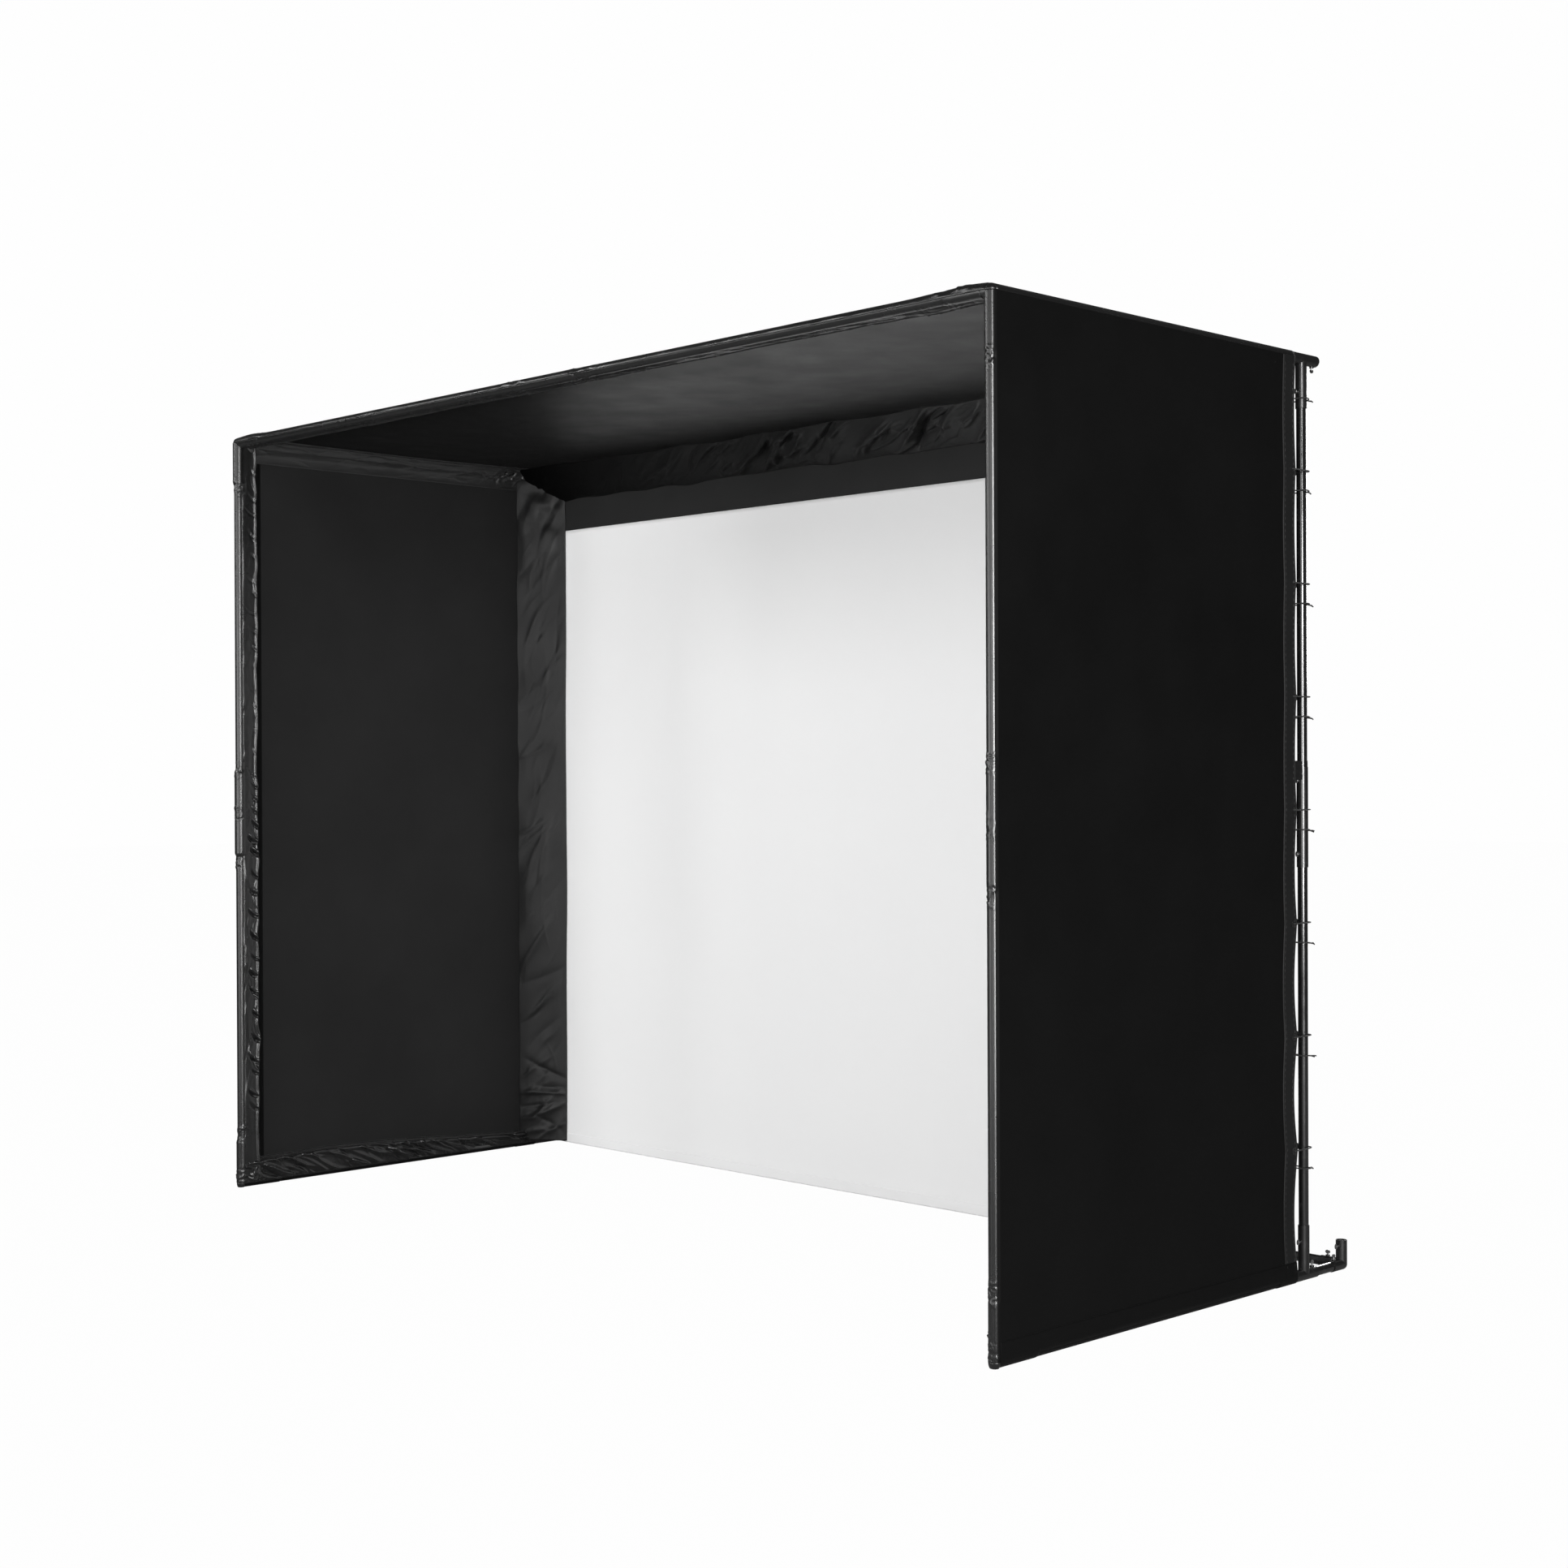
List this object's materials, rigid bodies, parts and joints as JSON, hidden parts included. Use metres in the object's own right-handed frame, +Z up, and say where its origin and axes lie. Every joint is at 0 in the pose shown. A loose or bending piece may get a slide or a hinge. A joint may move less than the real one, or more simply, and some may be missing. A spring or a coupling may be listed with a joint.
{
  "type": "golf simulator enclosure",
  "caption": "Black cloth bay on a round tube frame, open at the front, with a white impact screen held at the back by ball bungees.",
  "frame": {"origin": "on the floor, at the centre of the footprint", "axes": "+Z up, +X to the right for a player facing the screen, +Y towards the screen"},
  "size_m": [3.7072, 1.6657, 2.786],
  "materials": {
    "tube_paint": "gloss",
    "fitting_paint": "satin",
    "zinc_screw": "satin",
    "cover_cloth": "satin",
    "flap_cloth": "satin",
    "border_cloth": "matte",
    "screen_cloth": "matte",
    "elastic_cord": "matte",
    "ball_plastic": "gloss",
    "grommet_metal": "satin"
  },
  "bodies": {
    "frame": {"bottom_left_rail": "tube_paint", "bottom_right_rail": "tube_paint", "clamp_screws": "zinc_screw", "cover_bungee_balls": "ball_plastic", "cover_bungee_cords": "elastic_cord", "cover_grommets": "grommet_metal", "foot_rail_coupler": "fitting_paint", "foot_rail_left": "tube_paint", "foot_rail_right": "tube_paint", "front_left_bottom_corner": "fitting_paint", "front_left_post_coupler": "fitting_paint", "front_left_post_lower": "tube_paint", "front_left_post_upper": "tube_paint", "front_left_top_corner": "fitting_paint", "front_right_bottom_corner": "fitting_paint", "front_right_post_coupler": "fitting_paint", "front_right_post_lower": "tube_paint", "front_right_post_upper": "tube_paint", "front_right_top_corner": "fitting_paint", "hem_bungee_balls": "ball_plastic", "left_flap": "flap_cloth", "left_foot_corner": "fitting_paint", "left_foot_stub": "tube_paint", "left_wall": "cover_cloth", "rear_left_bottom_corner": "fitting_paint", "rear_left_post_coupler": "fitting_paint", "rear_left_post_lower": "tube_paint", "rear_left_post_upper": "tube_paint", "rear_left_top_corner": "fitting_paint", "rear_right_bottom_corner": "fitting_paint", "rear_right_post_coupler": "fitting_paint", "rear_right_post_lower": "tube_paint", "rear_right_post_upper": "tube_paint", "rear_right_top_corner": "fitting_paint", "right_flap": "flap_cloth", "right_foot_corner": "fitting_paint", "right_foot_stub": "tube_paint", "right_wall": "cover_cloth", "roof": "cover_cloth", "screen_bungee_cords": "elastic_cord", "top_flap": "flap_cloth", "top_front_rail_coupler": "fitting_paint", "top_front_rail_left": "tube_paint", "top_front_rail_right": "tube_paint", "top_left_rail": "tube_paint", "top_rear_rail_coupler": "fitting_paint", "top_rear_rail_left": "tube_paint", "top_rear_rail_right": "tube_paint", "top_right_rail": "tube_paint"},
    "screen_panel": {"screen": "screen_cloth", "screen_border": "border_cloth", "screen_grommets": "grommet_metal", "screen_bungee_balls": "ball_plastic"},
    "left_foot_socket_screw": {"left_foot_socket_screw": "zinc_screw"},
    "right_foot_socket_screw": {"right_foot_socket_screw": "zinc_screw"},
    "left_top_socket_screw": {"left_top_socket_screw": "zinc_screw"},
    "right_top_socket_screw": {"right_top_socket_screw": "zinc_screw"}
  },
  "joints": [
    {"name": "screen_give", "type": "slide", "parent": "frame", "child": "screen_panel", "axis": [0, 1, 0], "range_m": [0, 0.06], "stiffness_N_per_m": 2400, "deforming": ["screen_bungee_cords", "left_flap", "right_flap", "top_flap"]},
    {"name": "left_foot_socket_screw_turn", "type": "hinge", "parent": "frame", "child": "left_foot_socket_screw", "pos_m": [-1.829, 0.79525, 0.0755], "axis": [0, -1, 0], "range_deg": [0, 720]},
    {"name": "left_top_socket_screw_turn", "type": "hinge", "parent": "frame", "child": "left_top_socket_screw", "pos_m": [-1.829, 0.66525, 2.7415], "axis": [0, 0, -1], "range_deg": [0, 720]},
    {"name": "right_foot_socket_screw_turn", "type": "hinge", "parent": "frame", "child": "right_foot_socket_screw", "pos_m": [1.829, 0.79525, 0.0755], "axis": [0, -1, 0], "range_deg": [0, 720]},
    {"name": "right_top_socket_screw_turn", "type": "hinge", "parent": "frame", "child": "right_top_socket_screw", "pos_m": [1.829, 0.66525, 2.7415], "axis": [0, 0, -1], "range_deg": [0, 720]}
  ]
}
